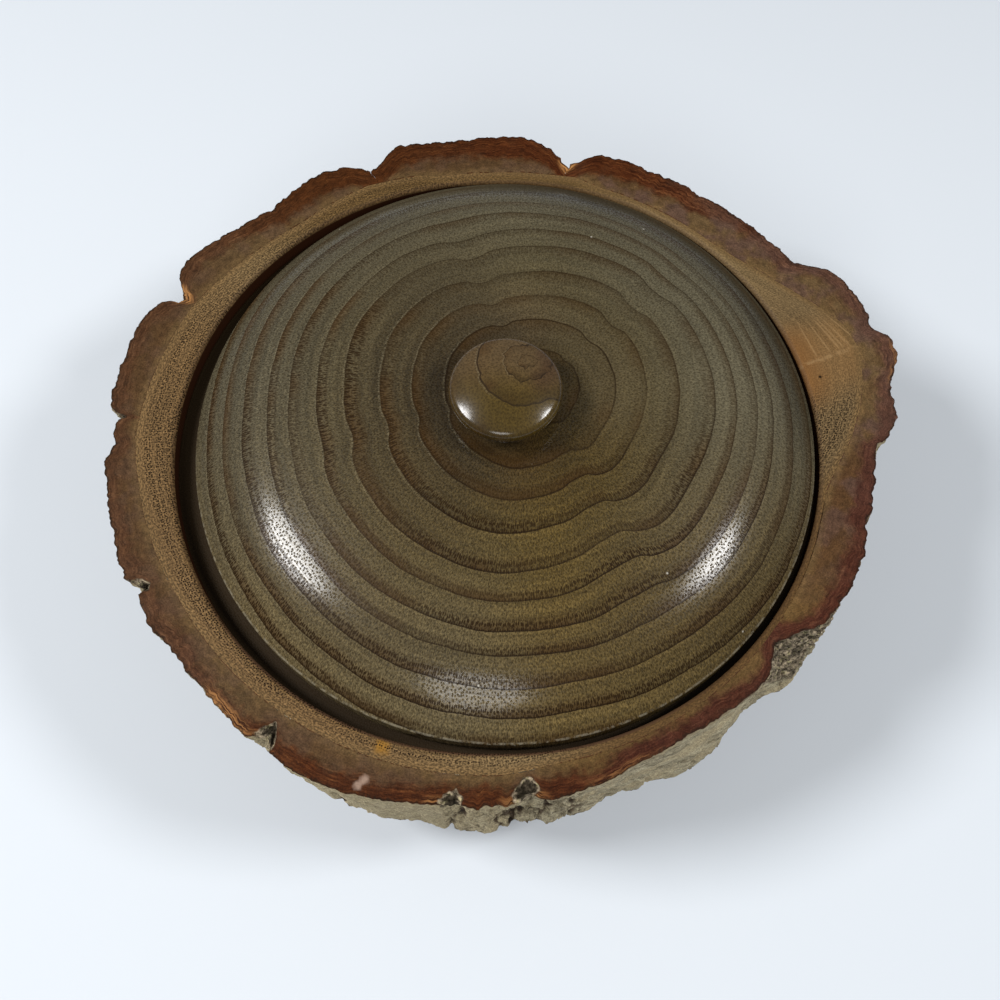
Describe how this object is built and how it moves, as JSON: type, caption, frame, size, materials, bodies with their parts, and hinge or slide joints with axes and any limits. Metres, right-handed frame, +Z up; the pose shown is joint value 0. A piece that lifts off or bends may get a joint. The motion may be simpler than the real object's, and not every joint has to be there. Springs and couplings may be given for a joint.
{
  "type": "lidded bowl",
  "caption": "Turned wooden bowl with the bark left on its rim and a domed lift-off lid with a pinch knob, for keeping small dry things.",
  "frame": {"origin": "centre of the foot's underside, on the bowl's turning axis", "axes": "+Z up along the turning axis, -Y towards the front of the picture, +X to its right"},
  "size_m": [0.1807, 0.1664, 0.0837],
  "materials": {
    "bowl_wood": "oiled satin",
    "lid_wood": "waxed satin",
    "bark": "rough, oiled on the cut edge"
  },
  "bodies": {
    "bowl": {"bowl": "bowl_wood", "bark_knot": "bark", "bark_back": "bark", "bark_back_left": "bark", "bark_left": "bark", "bark_front_left": "bark", "bark_front": "bark", "bark_front_right": "bark", "bark_right": "bark"},
    "lid": {"lid": "lid_wood"}
  },
  "joints": [
    {"name": "lid_lift", "type": "slide", "parent": "bowl", "child": "lid", "axis": [0, 0, 1], "range_m": [0, 0.12]}
  ]
}
